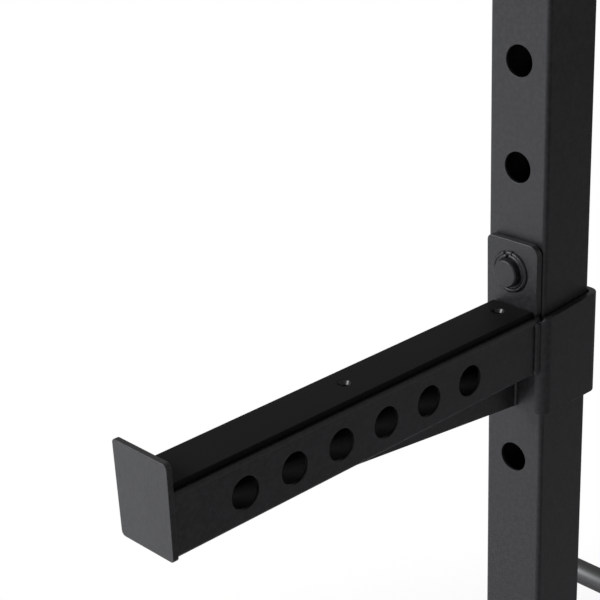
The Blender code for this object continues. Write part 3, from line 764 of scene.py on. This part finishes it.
def fastener_tree():
    """Sets one prototype on each point of a mesh, its axis along a chosen direction."""
    group, nodes, given = new_tree(
        "fasteners", Object=("Prototype",), Vector=("Axis",), Int=("Seed",)
    )
    shape = nodes.add("GeometryNodeObjectInfo", {"Object": given["Prototype"]}, "Geometry")
    points = nodes.add("GeometryNodeMeshToPoints", {"Mesh": given["Geometry"]})
    set_on = set_along(nodes, points, shape, given["Axis"])
    spin = {"Min_001": 0.0, "Max_001": math.tau, "Seed": given["Seed"]}
    spin = nodes.add("FunctionNodeRandomValue", spin, "Value_001", data_type="FLOAT")
    about = nodes.add("ShaderNodeCombineXYZ", {"Z": spin})
    about = nodes.add("FunctionNodeEulerToRotation", {0: about})
    spun = {"Instances": set_on, "Rotation": about}
    spun = nodes.add("GeometryNodeRotateInstances", spun)
    tree_end(nodes, spun, given["Material"])
    return group


fasteners = fastener_tree()


def set_fasteners(shape, places, axis, finish, seed):
    values = {"Prototype": shape, "Axis": axis, "Seed": seed, "Material": finish}
    return plain_mesh(grown(fasteners, values, places))


UPRIGHT_X = 0.540
BOLT_FACE = 0.0356
STRAP_HALF = 0.014
STRAP_END = 0.016
for end, label in POSTS:
    side = SIDES[label]
    y = middle(*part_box(end + "_upright_" + label))[1]
    x = side * UPRIGHT_X
    face = x + side * BOLT_FACE
    where = end + "_" + label
    for which in ("upright", "runner"):
        if which == "upright":
            spots = [(y, z) for z in UPRIGHT_BOLTS]
            dy, dz = STRAP_HALF, STRAP_END
        else:
            spots = [(y + s * RUNNER_BOLTS, RUNNER_Z) for s in (-1, 1)]
            dy, dz = STRAP_END, STRAP_HALF
        (y0, z0), (y1, z1) = spots
        outline = box_outline(y0 - dy, y1 + dy, z0 - dz, z1 + dz, 0.001, 3)
        at = (-abs(face) - STRAP, 0, 0)
        mesh = plate_mesh(outline, [], STRAP, 0.0005, "right", at, side, zinc)
        node = which + "_bolts_" + where
        keep(which + "_strap_" + where, mesh, node, slot="zinc_plated_steel")
        heads = [(face + side * STRAP, *spot) for spot in spots]
        mesh = set_fasteners(head_shape, heads, (side, 0.0, 0.0), zinc, 3)
        keep(which + "_heads_" + where, mesh, slot="zinc_plated_steel")
        nuts = [(x - side * BOLT_FACE, *spot) for spot in spots]
        mesh = set_fasteners(nut_shape, nuts, (-side, 0.0, 0.0), zinc, 7)
        keep(which + "_nuts_" + where, mesh, slot="zinc_plated_steel")


# TOP SIDE RAILS, CROSS MEMBERS AND PULL-UP BAR
# Square tube, and a round bar at the front, with flat flanges welded on both ends and held
# against the uprights. Each flange is as wide as the upright.


def weld_tree():
    """A weld bead along a path: overlapping ripples, uneven width, and round ends."""
    group, nodes, given = new_tree("weld bead", Float=("Radius", "Ripple", "Seed"))
    curve = nodes.add("GeometryNodeMeshToCurve", {"Mesh": given["Geometry"]})
    curve = {"Curve": curve, "Length": 0.0006}
    curve = nodes.add("GeometryNodeResampleCurve", curve, mode="LENGTH")
    along = nodes.add("GeometryNodeSplineParameter", {}, "Length")
    whole = nodes.add("GeometryNodeSplineLength", {}, "Length")
    seeded = nodes.add("ShaderNodeCombineXYZ", {"X": given["Seed"]})
    place = nodes.add("GeometryNodeInputPosition").vector("ADD", seeded)
    slow = nodes.noise(place, 60.0, 2.0)
    quick = nodes.noise(place, 420.0, 1.0)
    ripple = (along / given["Ripple"]).maths("PINGPONG", 0.5)
    ends = along.maths("MINIMUM", whole - along) / given["Radius"]
    ends = ends.maths("MINIMUM", 1.0)
    ends = (ends * (2.0 - ends)) ** 0.5
    width = (0.62 + 0.50 * slow + 0.16 * quick + 0.16 * ripple) * (0.05 + 0.95 * ends)
    disc = {"Resolution": 12, "Radius": given["Radius"]}
    disc = nodes.add("GeometryNodeCurvePrimitiveCircle", disc)
    bead = {"Curve": curve, "Profile Curve": disc, "Scale": width, "Fill Caps": True}
    bead = nodes.add("GeometryNodeCurveToMesh", bead)
    smooth = nodes.add("GeometryNodeSetShadeSmooth", {"Geometry": bead, "Shade Smooth": True})
    tree_end(nodes, smooth, given["Material"])
    return group


RIPPLE = 0.0019
weld_beads = weld_tree()


def weld(path, radius, seed):
    values = {"Radius": radius, "Ripple": RIPPLE, "Seed": float(seed), "Material": black_coat}
    return plain_mesh(grown(weld_beads, values, [tuple(p) for p in path]))


def mirrored(point, side):
    """A point of the left side, or for side 1 its mirror image."""
    return Vector((-side * point[0], point[1], point[2]))


def joined(meshes):
    """One mesh from several, for pieces that are one solid on the real rack."""
    holders = [placed("part", mesh) for mesh in meshes]
    with bpy.context.temp_override(
        active_object=holders[0], selected_editable_objects=holders, selected_objects=holders
    ):
        bpy.ops.object.join()
    mesh = holders[0].data
    bpy.data.objects.remove(holders[0])
    return mesh


CROSS = 0.050
FLANGE = 0.006
FLANGE_BEAD = 0.0030
BEAD_OFF = 0.001
VENT = 0.030
PULL_UP_RADIUS = 0.016


def flanged(stem, low, high, facing, half_wide, stem_half, seeds, vent=VENT):
    """One mesh of a member's stem, its two end flanges, and the beads round it on both."""
    x, y, z = middle(low, high)
    tall = (high.z - low.z) / 2
    outline = box_outline(-half_wide, half_wide, -tall, tall, CORNER)
    holes = [ring(0, 0, vent, 24)] if vent else []
    corner = CORNER if vent else stem_half * 0.999
    loop = box_outline(-stem_half, stem_half, -stem_half, stem_half, corner, 5)
    if facing == "front":
        ends = ((x, low.y + FLANGE, z), -BEAD_OFF), ((x, high.y, z), FLANGE + BEAD_OFF)
    else:
        ends = ((low.x, y, z), FLANGE + BEAD_OFF), ((high.x - FLANGE, y, z), -BEAD_OFF)
    meshes = [stem]
    for (at, rise), seed in zip(ends, seeds):
        meshes.append(plate_mesh(outline, holes, FLANGE, EASE, facing, at))
        path = [
            Vector(at) + FACING[facing] @ Vector((p.x, p.y, rise)) for p in loop + loop[:1]
        ]
        meshes.append(weld(path, FLANGE_BEAD, seed))
    return joined(meshes)


for seed, label in enumerate(SIDES):
    node = "top_side_rail_" + label
    low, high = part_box(node)
    x, _, z = middle(low, high)
    stem = tube_mesh((x, low.y + FLANGE, z), (x, high.y - FLANGE, z), CROSS)
    mesh = flanged(stem, low, high, "front", TUBE / 2, CROSS / 2, (seed, seed + 5))
    keep("side_rail_" + label, mesh, node)

for seed, place_name in enumerate(("top", "middle", "base")):
    node = "rear_" + place_name + "_cross_member"
    low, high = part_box(node)
    _, y, z = middle(low, high)
    deep = (high.y - low.y) / 2
    stem = tube_mesh((low.x + FLANGE, y, z), (high.x - FLANGE, y, z), CROSS)
    mesh = flanged(stem, low, high, "right", deep, CROSS / 2, (seed + 11, seed + 17))
    keep("cross_" + node, mesh, node)

low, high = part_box("pull_up_bar")
_, y, z = middle(low, high)
bar = turned([(PULL_UP_RADIUS, low.x + FLANGE), (PULL_UP_RADIUS, high.x - FLANGE)])
stem = shaped(bar, "right", (0, y, z))
mesh = flanged(stem, low, high, "right", TUBE / 2, PULL_UP_RADIUS, (23, 29), None)
keep("pull_up_bar_and_flanges", mesh, "pull_up_bar")


# STORAGE PEGS
# Solid bright steel bar, turned with a chamfered tip, welded to a flange on the outside of each
# rear upright. The flange is coated black.


def turned_steel(name, level):
    """Bright bar: lathe lines round its axis, and long faint rub marks."""
    made, nodes, place = blank_material(name)
    lines = nodes.noise(nodes.stretched(place, 2600.0, 12.0, 12.0), 1.0, 2.0, 0.6)
    rubs = nodes.noise(nodes.stretched(place, 14.0, 160.0, 160.0), 1.0, 4.0, 0.65)
    cloud = nodes.noise(place, 18.0, 3.0)
    tone = 0.5 * rubs + 0.5 * cloud
    looks = {
        "Base Color": nodes.mix(tone, grey(level * 0.7), grey(level * 1.15)),
        "Metallic": 1.0,
        "Roughness": 0.40 + 0.16 * rubs + 0.06 * lines,
    }
    return shaded(made, nodes, 0.35, 0.00003, lines, looks)


# painted shade: the bright steel's colour is set dark, standing in for the shade that the pegs lie
# in
bright_bar = turned_steel("bright_bar", 0.12)
PEG_RADIUS = 0.014
PEG_BEAD = 0.0032
PEG_CHAMFER = ((0.0034, 0), (0.0028, 0.0001), (0.0002, 0.0027), (0, 0.0033))
PEG_FLANGE_Y = 0.028
PEG_FLANGE_Z = 0.055
peg_flange = box_outline(-PEG_FLANGE_Y, PEG_FLANGE_Y, -PEG_FLANGE_Z, PEG_FLANGE_Z, 0.010)
for label, side in SIDES.items():
    for number in (1, 2):
        node = "storage_peg_%d_%s" % (number, label)
        low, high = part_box(node)
        _, y, z = middle(low, high)
        face, tip = sorted((abs(low.x), abs(high.x)))
        at = (-face - FLANGE, y, z)
        flange = plate_mesh(peg_flange, [], FLANGE, EASE, "right", at, side)
        root = Vector((side * (face + FLANGE + BEAD_OFF), y, z))
        turns = [math.tau * i / 32 for i in range(33)]
        path = [root + PEG_RADIUS * Vector((0, math.cos(t), math.sin(t))) for t in turns]
        meshes = [flange, weld(path, PEG_BEAD, number + 31 + side)]
        keep("peg_flange_%d_%s" % (number, label), joined(meshes))
        profile = [(PEG_RADIUS - inset, rise - tip) for inset, rise in PEG_CHAMFER]
        profile.append((PEG_RADIUS, -face - FLANGE / 2))
        mesh = shaped(turned(profile), "right", (0, y, z), side, bright_bar)
        keep("peg_%d_%s" % (number, label), mesh, node, slot="bright_steel")


# HOOK-ON BRACKETS
# One 6 mm plate, cut flat and bent twice round the upright: a front flange with a tall tab, a
# side web and a rear hook. A round notch lets the bend end cleanly beside the tab.

PLATE = 0.006
BEND = 0.0042
FRONT_IN = -0.0015
FRONT_OUT = FRONT_IN - PLATE
SIDE_OUT = 0.037
REAR_IN = 0.0615
REAR_FLAT = 0.045
FLANGE_LEFT = -0.0247
TAB_RIGHT = 0.0282
TAB_TOP = 0.0275
SHOULDER = -0.034
REAR_TOP = -0.0304
BRACKET_LOW = -0.122
NOTCH = 0.003
PIN_BORE = 0.0246
QUARTER = math.pi / 2
BENT_LENGTH = (BEND + PLATE / 2) * QUARTER
PIN_HOLE = {"arm": 2, "cup": 7}
HOOKS = [(kind, label, side) for kind in PIN_HOLE for label, side in SIDES.items()]


def folded(u, w, starts, radius):
    """Where a point of a flat blank lands: u along its middle, w above its inner face."""
    spot, heading, gone = Vector((0.0, 0.0)), 0.0, 0.0
    length = (radius + PLATE / 2) * QUARTER
    for start in (*starts, math.inf):
        spot += (min(u, start) - gone) * Vector((math.cos(heading), math.sin(heading)))
        if u <= start:
            break
        turn = QUARTER * (min(u - start, length) / length)
        left = Vector((-math.sin(heading), math.cos(heading)))
        centre = spot + left * (radius + PLATE / 2)
        spot = centre + Matrix.Rotation(turn, 2) @ (spot - centre)
        heading += turn
        gone = start + length
        if u <= gone:
            break
    return spot + (w - PLATE / 2) * Vector((math.sin(heading), -math.cos(heading)))


def fold_blank(bm, starts, radius, flat_zone=None):
    """Bends a blank by a quarter turn after each start, to an inner radius.

    It is drawn in x (along), y (up) and z (thickness), and ends up in x, y by z. flat_zone is
    how far along and above which height it stays flat, for a tab."""
    for start in starts:
        length = (radius + PLATE / 2) * QUARTER
        for step in range(13):
            bmesh.ops.bisect_plane(
                bm,
                geom=bm.verts[:] + bm.edges[:] + bm.faces[:],
                plane_co=(start + length * step / 12, 0, 0),
                plane_no=(1, 0, 0),
                dist=1e-6,
            )
    for vert in bm.verts:
        u, v, w = vert.co
        if flat_zone is not None and u < flat_zone[0] and v > flat_zone[1]:
            spot = Vector((u, PLATE / 2 - w))
        else:
            spot = folded(u, w, starts, radius)
        vert.co = (spot.x, spot.y, v)


def bracket_mesh(side, pin):
    """The blank, from the flange's free edge on, is cut out with its notch and then folded."""
    tab = TAB_RIGHT - FLANGE_LEFT
    first_bend = SIDE_OUT - PLATE - BEND - FLANGE_LEFT
    second_bend = first_bend + BENT_LENGTH + (REAR_IN - FRONT_IN - 2 * BEND)
    end = second_bend + BENT_LENGTH + REAR_FLAT
    notch = tab + NOTCH / 2
    corners = [(0, BRACKET_LOW, 0.001), (end, BRACKET_LOW, 0.010), (end, REAR_TOP, 0.010)]
    corners += [(second_bend, REAR_TOP, 0.004), (first_bend + BENT_LENGTH, SHOULDER, 0.001)]
    outline = rounded(corners)
    # a half round below the shoulder, then on up to the tab's edge
    for step in range(13):
        turn = -math.radians(195) * step / 12
        outline.append(Vector((notch + NOTCH * math.cos(turn), SHOULDER + NOTCH * math.sin(turn))))
    corners = [(tab, SHOULDER + NOTCH, 0.0004), (tab, TAB_TOP, 0.009), (0, TAB_TOP, 0.005)]
    rim = rounded(corners + [(0, BRACKET_LOW, 0)], 7)
    outline += [p for p in rim if p.y > SHOULDER + NOTCH / 2]
    bm = bmesh.new()
    slab(bm, outline, [ring(-FLANGE_LEFT, 0, PIN_BORE, 48)], PLATE, EASE)
    flat_zone = (first_bend + BENT_LENGTH - 0.0012, SHOULDER + 1e-5)
    fold_blank(bm, (first_bend, second_bend), BEND, flat_zone)
    bmesh.ops.translate(bm, verts=bm.verts, vec=(FLANGE_LEFT, FRONT_IN - PLATE / 2, 0))
    bmesh.ops.recalc_face_normals(bm, faces=bm.faces)
    return shaped(bm, "up", pin, side)


def pin_place(kind):
    """The pin's place on the left side; the right side is mirrored."""
    return Vector((-UPRIGHT_X, 0.0, LOWEST_HOLE_Z + HOLE_PITCH * PIN_HOLE[kind]))


for kind, label, side in HOOKS:
    node = kind + "_bracket_" + label
    mesh = bracket_mesh(side, pin_place(kind))
    keep(kind + "_hook_" + label, mesh, node, body=kind + "_" + label)


# PINS
# A solid steel pin through the tab, held by two weld passes round its head. Its nose is tapered
# so that it finds the hole of the upright, where it carries the load.

PIN_RADIUS = 0.012
PIN_NOSE = -0.0340
PIN_FACE = 0.0155
PIN_TAPER = ((0.0032, 0), (0.0028, 0.0001), (0.0002, 0.0026), (0, 0.0030))
PIN_ROUND = ((0, 0.0015), (0.0002, 0.0010), (0.0008, 0.0002), (0.0014, 0))
WELD_PASSES = ((0.0135, 0.0023, 100), (0.0161, 0.0020, 108))
LAST_START_X = 0.0022
LAST_START_Z = 0.0163
for kind, label, side in HOOKS:
    node = kind + "_pin_" + label
    pin = pin_place(kind)
    profile = [(PIN_RADIUS - inset, PIN_NOSE + z) for inset, z in PIN_TAPER]
    profile += [(PIN_RADIUS - inset, PIN_FACE - z) for inset, z in PIN_ROUND]
    meshes = [shaped(turned(profile), "front", pin, side)]
    for reach, bead, begin in WELD_PASSES:
        path = []
        for i in range(65):
            turn = math.radians(begin + 357 * i / 64)
            spot = Vector((reach * math.cos(turn), FRONT_OUT - 0.0002, reach * math.sin(turn)))
            path.append(mirrored(pin + spot, side))
        meshes.append(weld(path, bead, 41 + side + len(kind) + begin))
    # where the last pass was started
    path = [
        mirrored(pin + Vector((LAST_START_X + dx, FRONT_OUT - 0.0006, LAST_START_Z)), side)
        for dx in (-0.0014, 0.0, 0.0014)
    ]
    meshes.append(weld(path, 0.0026, 47))
    keep(kind + "_pin_and_weld_" + label, joined(meshes), node, body=kind + "_" + label)


# ARM TUBES
# 50 by 50 mm square tube under the liner, with six plain holes across it for bands or pins.
# It is welded to the bracket's front flange.

ARM_ROOT = -0.0078
ARM_TIP = -0.3958
ARM_X = (-0.020, 0.030)
ARM_Z = (-0.0845, -0.0345)
ARM_SIZE = 0.050
ARM_HOLE = 0.026
ARM_HOLE_START = 0.064
ARM_HOLE_STEP = 0.048
for label, side in SIDES.items():
    pin = pin_place("arm")
    centre = Vector((sum(ARM_X) / 2, 0, sum(ARM_Z) / 2)) + pin
    x = centre.x * -side
    holes = {
        "First Hole": (x, pin.y + ARM_TIP + ARM_HOLE_START, centre.z),
        "Hole Step": (0.0, ARM_HOLE_STEP, 0.0),
        "Hole Axis": (1.0, 0.0, 0.0),
        "Hole Count": 6,
        "Hole Diameter": ARM_HOLE,
    }
    mesh = tube_mesh((x, ARM_TIP, centre.z), (x, ARM_ROOT, centre.z), ARM_SIZE, holes)
    keep("arm_beam_" + label, mesh, "arm_tube_" + label, body="arm_" + label)


# ARM GUSSETS
# A steel plate on edge under the tube, welded to it and to the bracket's front flange, into
# which it leads the load.

GUSSET_X = 0.005
GUSSET_TOP = -0.0848
GUSSET_LOW = -0.1208
GUSSET_TIP = ARM_ROOT - 0.207
GUSSET_KNEE = ARM_ROOT - 0.193
GUSSET_KNEE_Z = -0.0997
gusset_corners = [(GUSSET_TIP, GUSSET_TOP, 0.0008), (GUSSET_KNEE, GUSSET_KNEE_Z, 0.006)]
gusset_corners += [(ARM_ROOT, GUSSET_LOW, 0.0008), (ARM_ROOT, GUSSET_TOP, 0.0008)]
for label, side in SIDES.items():
    at = pin_place("arm") + Vector((GUSSET_X - PLATE / 2, 0, 0))
    mesh = plate_mesh(rounded(gusset_corners), [], PLATE, EASE, "right", at, side)
    keep("arm_web_" + label, mesh, "arm_gusset_" + label, body="arm_" + label)


# ARM END PLATES
# A plate welded across the tube's end. It stands proud of the liner, so that a load can't
# roll off.

END_PLATE = 0.005
END_TOP = -0.0091
END_LOW = -0.0856
END_LEFT = -0.026
END_TOP_LEFT = -0.0282
END_RIGHT = 0.031
END_GAP = 0.0003
end_corners = [(END_LEFT, END_LOW, 0.004), (END_RIGHT, END_LOW, 0.003)]
end_corners += [(END_RIGHT, END_TOP, 0.0045), (END_TOP_LEFT, END_TOP, 0.003)]
for label, side in SIDES.items():
    at = pin_place("arm") + Vector((0, ARM_TIP - END_GAP, 0))
    mesh = plate_mesh(rounded(end_corners), [], END_PLATE, EASE, "front", at, side)
    keep("arm_stop_" + label, mesh, "arm_end_plate_" + label, body="arm_" + label)


# ARM LINERS
# A strip of dense black plastic on top of the tube, held by three dark plated screws in cup
# washers sunk into it. It keeps the tube from scratching the load.


def liner_plastic(name, level):
    """Dense black plastic with a fine grain, scuffed along its length."""
    made, nodes, place = blank_material(name)
    cloud = nodes.noise(place, 22.0, 4.0, 0.6)
    grain = nodes.noise(place, 800.0, 3.0, 0.6)
    scuffs = nodes.noise(nodes.stretched(place, 900.0, 30.0, 900.0), 1.0, 3.0, 0.7)
    scuffed = scuffs.between(0.58, 0.74) * cloud.between(0.35, 0.7)
    colour = nodes.mix(0.6 * cloud + 0.4 * grain, grey(level * 0.7), grey(level * 1.35))
    looks = {
        "Base Color": nodes.mix(scuffed * 0.25, colour, grey(level * 3.0)),
        "Roughness": 0.50 + 0.12 * cloud + 0.10 * scuffed,
        "Specular IOR Level": 0.1,
    }
    return shaded(made, nodes, 0.4, 0.00008, 0.6 * grain + 0.4 * scuffs, looks)


black_liner = liner_plastic("black_liner", 0.006)
LINER_LOW = -0.0342
LINER_THICK = 0.005
LINER_X = (-0.0165, 0.0245)
LINER_GAP = 0.0006
LINER_EDGE = 0.0007
SCREW_X = 0.002
SCREW_YS = (-0.0250, -0.2045, -0.3860)
SCREW_LOW = -0.0340
SCREW_HOLE = 0.0114
screw_shape = hexagon_part(
    "screw",
    [(0.0055, 0.0), (0.0055, 0.0046), (0.0052, 0.0046), (0.0036, 0.0019)]
    + [(0.0034, 0.0018), (0.0021, 0.0018), (0.0019, 0.0006)],
    (5, 6),
)
dark_plate = plated_steel("dark_plate", 0.045, 0.27, 0.0)
outline = box_outline(*LINER_X, ARM_TIP + LINER_GAP, ARM_ROOT - LINER_GAP, 0.0015)
holes = [ring(SCREW_X, y, SCREW_HOLE, 32) for y in SCREW_YS]
for label, side in SIDES.items():
    pin, body = pin_place("arm"), "arm_" + label
    at = pin + Vector((0, 0, LINER_LOW))
    mesh = plate_mesh(outline, holes, LINER_THICK, LINER_EDGE, "up", at, side, black_liner)
    keep("arm_pad_" + label, mesh, "arm_liner_" + label, body=body, slot="black_plastic")
    spots = [tuple(mirrored(pin + Vector((SCREW_X, y, SCREW_LOW)), side)) for y in SCREW_YS]
    mesh = set_fasteners(screw_shape, spots, (0.0, 0.0, 1.0), dark_plate, 5)
    keep("arm_screws_" + label, mesh, body=body, slot="zinc_plated_steel")


# ARM WELDS
# Beads that join the steel of an arm, coated with it: thick ones where the tube meets the
# bracket's flange, and thin ones along the gusset.

GUSSET_BEAD_Z = -0.0850
GUSSET_RUN = 0.20
GUSSET_DROP = 0.0355
SIDE_RUN = 0.0475
UNDER_RUN = 0.044
BEAD_SINK = 0.0012


def run_of_weld(start, run, steps, side, radius, seed):
    """A straight bead on an arm, from a place beside its pin and along a run."""
    path = []
    for i in range(steps + 1):
        spot = Vector([a + b * i / steps for a, b in zip(start, run)])
        path.append(mirrored(pin_place("arm") + spot, side))
    return weld(path, radius, seed + side)


for label, side in SIDES.items():
    meshes = []
    for edge, seed in ((ARM_X[1] + 0.0002, 51), (ARM_X[0] - 0.0002, 53)):
        start = (edge, ARM_ROOT - BEAD_SINK, ARM_Z[0])
        meshes.append(run_of_weld(start, (0, 0, SIDE_RUN), 12, side, 0.0029, seed))
    start = (sum(ARM_X) / 2 - UNDER_RUN / 2, ARM_ROOT, ARM_Z[0])
    meshes.append(run_of_weld(start, (UNDER_RUN, 0, 0), 8, side, 0.0028, 57))
    for edge, seed in ((GUSSET_X - PLATE / 2, 61), (GUSSET_X + PLATE / 2, 67)):
        start = (edge, ARM_ROOT, GUSSET_BEAD_Z)
        meshes.append(run_of_weld(start, (0, -GUSSET_RUN, 0), 20, side, 0.0020, seed))
        meshes.append(run_of_weld(start, (0, 0, -GUSSET_DROP), 8, side, 0.0022, seed + 2))
    keep("arm_welds_" + label, joined(meshes), body="arm_" + label)


# CUPS
# Each is a cradle bent from the same plate as the brackets, welded to its own bracket, with
# a thick plastic liner inside so that a load lands softly.

CUP_BEND = 0.006
CUP_HALF = 0.025
CUP_MIDDLE = 0.005
CUP_FRONT = -0.0761
CUP_LOW = -0.0953
CUP_LIP = -0.042
CUP_LIP_CORNER = 0.012
PAD_FRONT = -0.0698
PAD_REAR = -0.0078
PAD_LOW = -0.089
PAD_LIP = -0.054
PAD_THICK = 0.007
PAD_EDGE = 0.0012
cup_straight = ARM_ROOT - CUP_FRONT - (CUP_BEND + PLATE)
cup_rise = cup_straight + (CUP_BEND + PLATE / 2) * QUARTER
cup_end = cup_rise + (CUP_LIP - CUP_LOW - (CUP_BEND + PLATE))
cup_corners = [(0, -CUP_HALF, 0.0008), (cup_end, -CUP_HALF, CUP_LIP_CORNER)]
cup_corners += [(cup_end, CUP_HALF, CUP_LIP_CORNER), (0, CUP_HALF, 0.0008)]
floor_z = PAD_LOW + PAD_THICK
pad_corners = [
    (PAD_FRONT, PAD_LOW, 0.006),
    (PAD_REAR, PAD_LOW, 0.0006),
    (PAD_REAR, SHOULDER, 0.0015),
    (PAD_REAR - PAD_THICK, SHOULDER, 0.0025),
    (PAD_REAR - PAD_THICK, floor_z, 0.006),
    (PAD_FRONT + PAD_THICK, floor_z, 0.006),
    (PAD_FRONT + PAD_THICK, PAD_LIP, 0.0025),
    (PAD_FRONT, PAD_LIP, 0.0015),
]
for label, side in SIDES.items():
    pin, body = pin_place("cup"), "cup_" + label
    bm = bmesh.new()
    slab(bm, rounded(cup_corners, 8), [], PLATE, EASE)
    fold_blank(bm, (cup_straight,), CUP_BEND)
    # drawn in x (forward) and y (up): stand it so that forward is -Y and up is +Z
    for vert in bm.verts:
        forward, up, across = vert.co
        vert.co = (across + CUP_MIDDLE, ARM_ROOT - forward, up + CUP_LOW + PLATE / 2)
    bmesh.ops.recalc_face_normals(bm, faces=bm.faces)
    mesh = shaped(bm, "up", pin, side)
    keep("cup_hook_plate_" + label, mesh, "cup_cradle_" + label, body=body)

    at = pin + Vector((CUP_MIDDLE - CUP_HALF, 0, 0))
    outline = rounded(pad_corners, 5)
    mesh = plate_mesh(outline, [], 2 * CUP_HALF, PAD_EDGE, "right", at, side, black_liner, 3)
    keep("cup_pad_" + label, mesh, "cup_liner_" + label, body=body, slot="black_plastic")

# the shapes that bolts and screws were copied from
for spare in (head_shape, nut_shape, screw_shape):
    bpy.data.objects.remove(spare)
